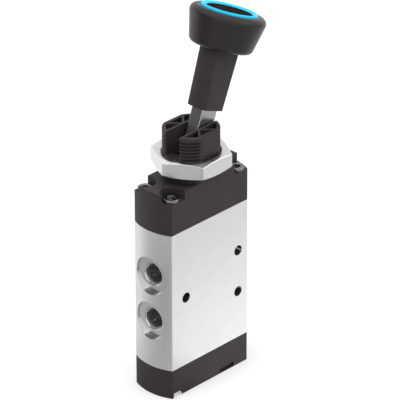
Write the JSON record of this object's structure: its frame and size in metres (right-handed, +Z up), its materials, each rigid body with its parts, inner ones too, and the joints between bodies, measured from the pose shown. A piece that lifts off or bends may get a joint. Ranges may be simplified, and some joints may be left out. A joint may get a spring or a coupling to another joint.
{
  "type": "hand lever air valve",
  "caption": "Slim hand lever air valve with a tilting knobbed lever, threaded panel collar and nut, and threaded ports in both narrow ends.",
  "frame": {"origin": "centre of the underside of the end cap, under the spool's axis", "axes": "+Z up along the spool and the panel collar, X along the wide faces with the supply end at +X, -Y towards the front wide face"},
  "size_m": [0.0624, 0.032, 0.1642],
  "materials": {
    "anodised_aluminium": "satin",
    "black_plastic": "matte",
    "zinc_plated_steel": "satin",
    "bar_steel": "satin",
    "nickel_plated_steel": "satin",
    "hard_aluminium": "polished",
    "blue_plastic": "satin",
    "natural_acetal": "satin",
    "nitrile_rubber": "matte",
    "spring_steel": "polished"
  },
  "bodies": {
    "valve": {"valve_body": "anodised_aluminium", "end_cap": "black_plastic", "actuator_housing": "black_plastic", "housing_screws": "zinc_plated_steel", "cap_screws": "zinc_plated_steel", "pivot_pin": "zinc_plated_steel", "pusher_guide": "natural_acetal", "lower_bush": "natural_acetal", "upper_bush": "natural_acetal", "return_spring": "spring_steel", "cap_seal": "nitrile_rubber", "flow_cage_1": "natural_acetal", "flow_cage_2": "natural_acetal", "flow_cage_3": "natural_acetal", "flow_cage_4": "natural_acetal", "flow_cage_5": "natural_acetal", "spool_seal_1": "nitrile_rubber", "spool_seal_2": "nitrile_rubber", "spool_seal_3": "nitrile_rubber", "spool_seal_4": "nitrile_rubber", "spool_seal_5": "nitrile_rubber", "spool_seal_6": "nitrile_rubber"},
    "lever": {"lever_bar": "bar_steel", "grip_sleeve": "black_plastic", "knob": "black_plastic", "knob_screw": "zinc_plated_steel", "accent_ring": "blue_plastic", "knob_disc": "black_plastic"},
    "spool": {"spool": "hard_aluminium", "pusher": "natural_acetal", "spring_seat": "natural_acetal"},
    "nut": {"panel_nut": "nickel_plated_steel"}
  },
  "joints": [
    {"name": "lever_tilt", "type": "hinge", "parent": "valve", "child": "lever", "pos_m": [0, 0, 0.0988], "axis": [0, 1, 0], "range_deg": [-41.4, 0], "stiffness_Nm_per_rad": 0.035, "springref_deg": 80.21},
    {"name": "spool_stroke", "type": "slide", "parent": "valve", "child": "spool", "axis": [0, 0, 1], "range_m": [-0.0036, 0.0001], "deforming": ["return_spring"]},
    {"name": "nut_turn", "type": "hinge", "parent": "valve", "child": "nut", "pos_m": [0, 0, 0.1014], "axis": [0, 0, 1], "continuous": true}
  ],
  "couplings": [
    {"joint": "spool_stroke", "follows": "lever_tilt", "m_per_rad": 0.0048439}
  ]
}
